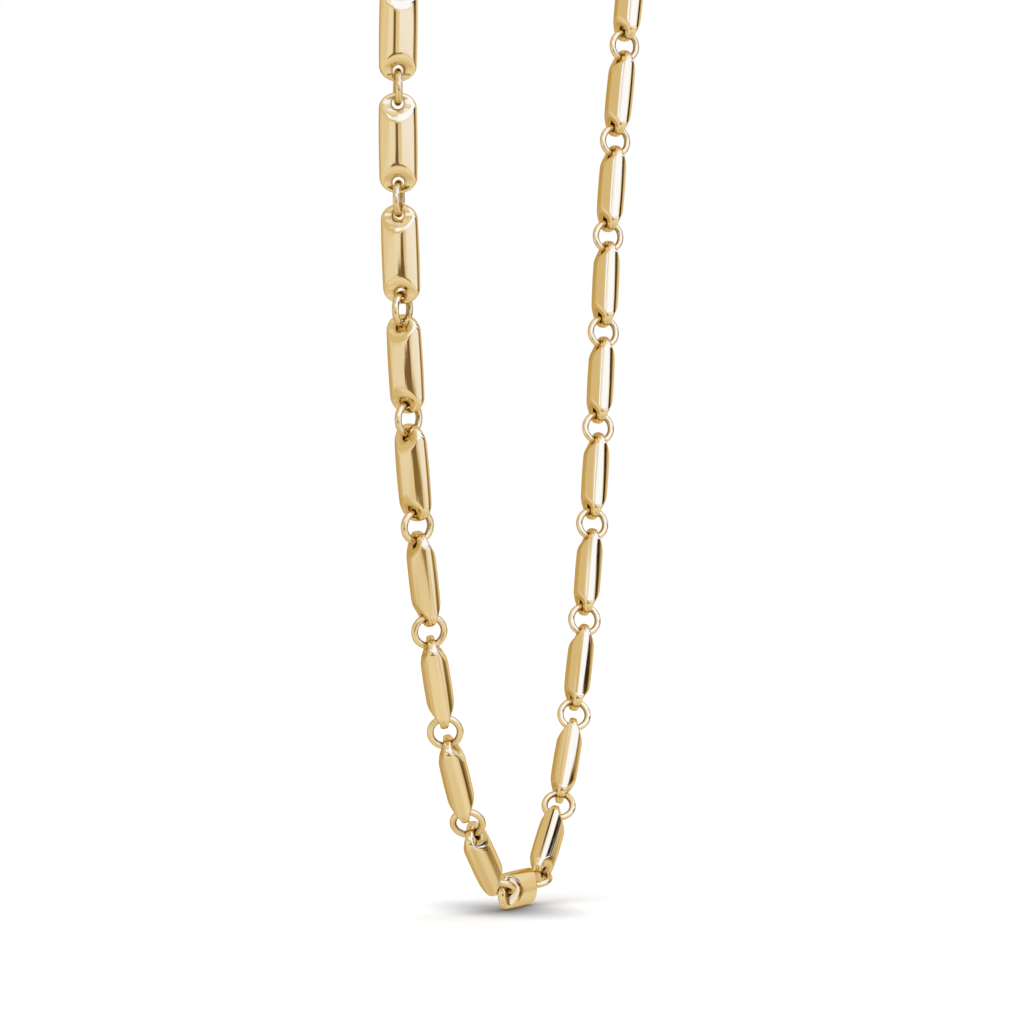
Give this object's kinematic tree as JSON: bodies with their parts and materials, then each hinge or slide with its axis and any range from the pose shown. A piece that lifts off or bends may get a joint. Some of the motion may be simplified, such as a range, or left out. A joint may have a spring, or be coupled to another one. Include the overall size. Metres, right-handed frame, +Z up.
{
  "type": "link chain necklace",
  "caption": "Necklace of polished pill-shaped metal bar links with chiselled, drilled ends, joined by round jump rings and closed by a plain clasp, hanging as worn.",
  "frame": {"origin": "inner side of the clasp at the nape, midway between the two end rings, where the chain lies on the back of the neck", "axes": "+Z up, -Y to the wearer's front, +X to the wearer's left"},
  "size_m": [0.0844, 0.064, 0.1613],
  "materials": {
    "gold": "polished, gold plated"
  },
  "bodies": {
    "root": {"bar_01": "gold", "bar_02": "gold", "bar_03": "gold", "bar_04": "gold", "bar_05": "gold", "bar_06": "gold", "bar_07": "gold", "bar_08": "gold", "bar_09": "gold", "bar_10": "gold", "bar_11": "gold", "bar_12": "gold", "bar_13": "gold", "bar_14": "gold", "bar_15": "gold", "bar_16": "gold", "bar_17": "gold", "bar_18": "gold", "bar_19": "gold", "bar_20": "gold", "bar_21": "gold", "bar_22": "gold", "bar_23": "gold", "bar_24": "gold", "bar_25": "gold", "bar_26": "gold", "bar_27": "gold", "bar_28": "gold", "bar_29": "gold", "bar_30": "gold", "bar_31": "gold", "bar_32": "gold", "bar_33": "gold", "bar_34": "gold", "bar_35": "gold", "bar_36": "gold", "bar_37": "gold", "rings_left": "gold", "rings_right": "gold", "clasp": "gold"}
  },
  "joints": []
}
